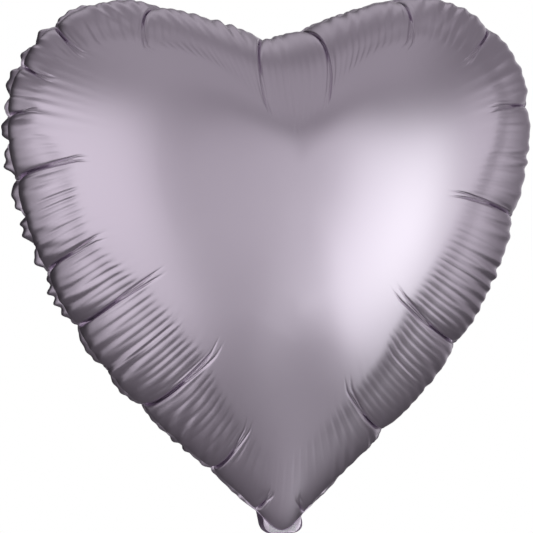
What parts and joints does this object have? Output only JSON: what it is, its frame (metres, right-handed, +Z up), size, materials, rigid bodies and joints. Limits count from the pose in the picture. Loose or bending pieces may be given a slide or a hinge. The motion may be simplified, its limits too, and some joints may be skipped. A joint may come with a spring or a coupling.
{
  "type": "heart-shaped foil balloon",
  "caption": "Filled heart-shaped foil balloon with a puckered welded rim and its inflation tail folded up behind the neck.",
  "frame": {"origin": "middle of the neck crease, where the heart's film folds into the tail and where a ribbon is tied", "axes": "+X to the right seen from the front, +Z up through the cleft between the lobes, the front faces -Y; the weld line lies in the plane Y = 0"},
  "size_m": [0.4, 0.175, 0.3963],
  "materials": {
    "panel_foil": "satin metallised film, pale grey with a lilac cast",
    "valve_film": "clear film, glossy"
  },
  "bodies": {
    "heart": {"front_panel": "panel_foil", "back_panel": "panel_foil", "valve_front_ply": "valve_film", "valve_back_ply": "valve_film"},
    "tail": {"tail_front_film": "panel_foil", "tail_back_film": "panel_foil", "tail_valve_front_ply": "valve_film", "tail_valve_back_ply": "valve_film"}
  },
  "joints": [
    {"name": "tail_fold", "type": "hinge", "parent": "heart", "child": "tail", "pos_m": [0, 0, 0], "axis": [-1, 0, 0], "range_deg": [0, 138]}
  ]
}
